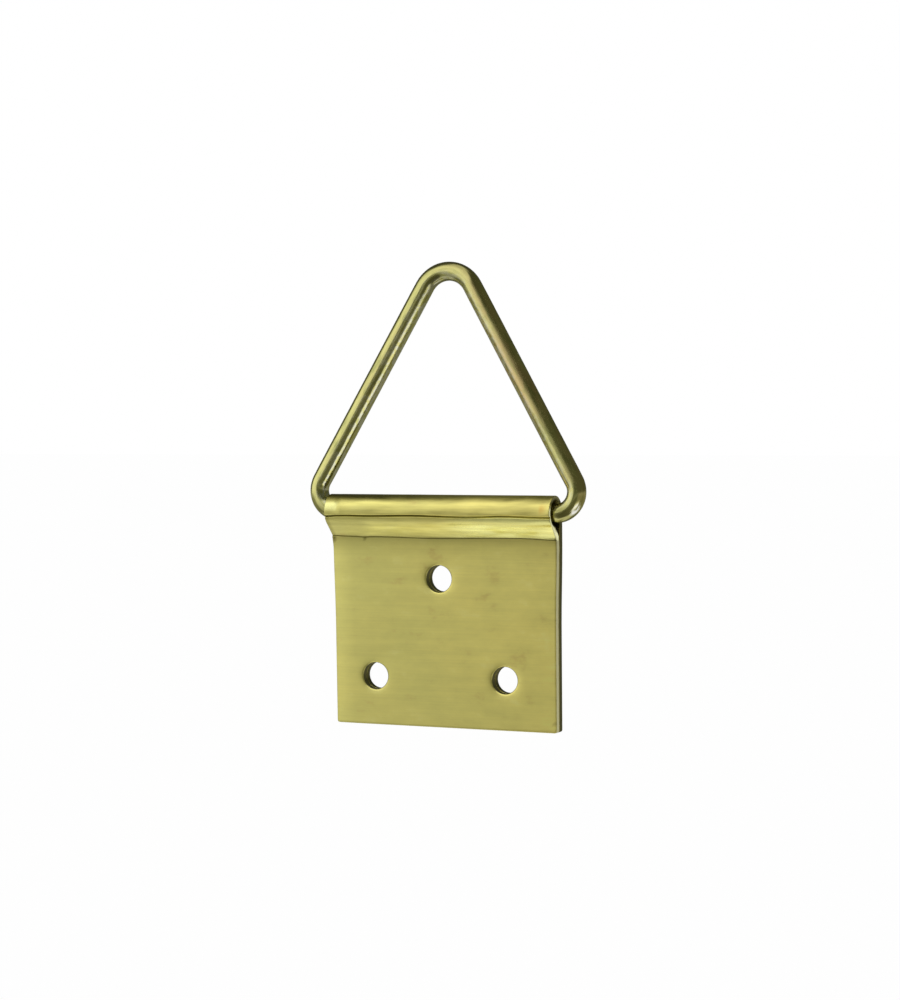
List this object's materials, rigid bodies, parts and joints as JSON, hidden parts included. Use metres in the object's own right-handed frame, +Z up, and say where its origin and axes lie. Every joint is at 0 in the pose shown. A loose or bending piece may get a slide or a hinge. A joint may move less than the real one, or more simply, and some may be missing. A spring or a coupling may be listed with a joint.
{
  "type": "triangle ring picture hanger",
  "caption": "Folded brass-plated hanger plate with screw holes and a triangular wire ring that swings in the fold, for hanging a picture frame on a nail or hook.",
  "frame": {"origin": "on the plate's back face, midway between its side edges and midway in height between the upper screw hole and the lower pair", "axes": "+Z up towards the ring's apex, +X along the bead and hinge to the right as seen from the front, -Y out of the front, so the back face looks along +Y"},
  "size_m": [0.037, 0.0049, 0.0574],
  "materials": {
    "plate_brass": "bright brass plating on sheet, fine brushed lines, lightly mottled",
    "wire_brass": "bright brass plating on drawn wire, thin and silvery in places"
  },
  "bodies": {
    "ring": {"triangle_ring": "wire_brass"},
    "plate": {"folded_plate": "plate_brass"}
  },
  "joints": [
    {"name": "plate_swing", "type": "hinge", "parent": "ring", "child": "plate", "pos_m": [0, -0.00215, 0.01438], "axis": [1, 0, 0], "range_deg": [-172, 137]}
  ]
}
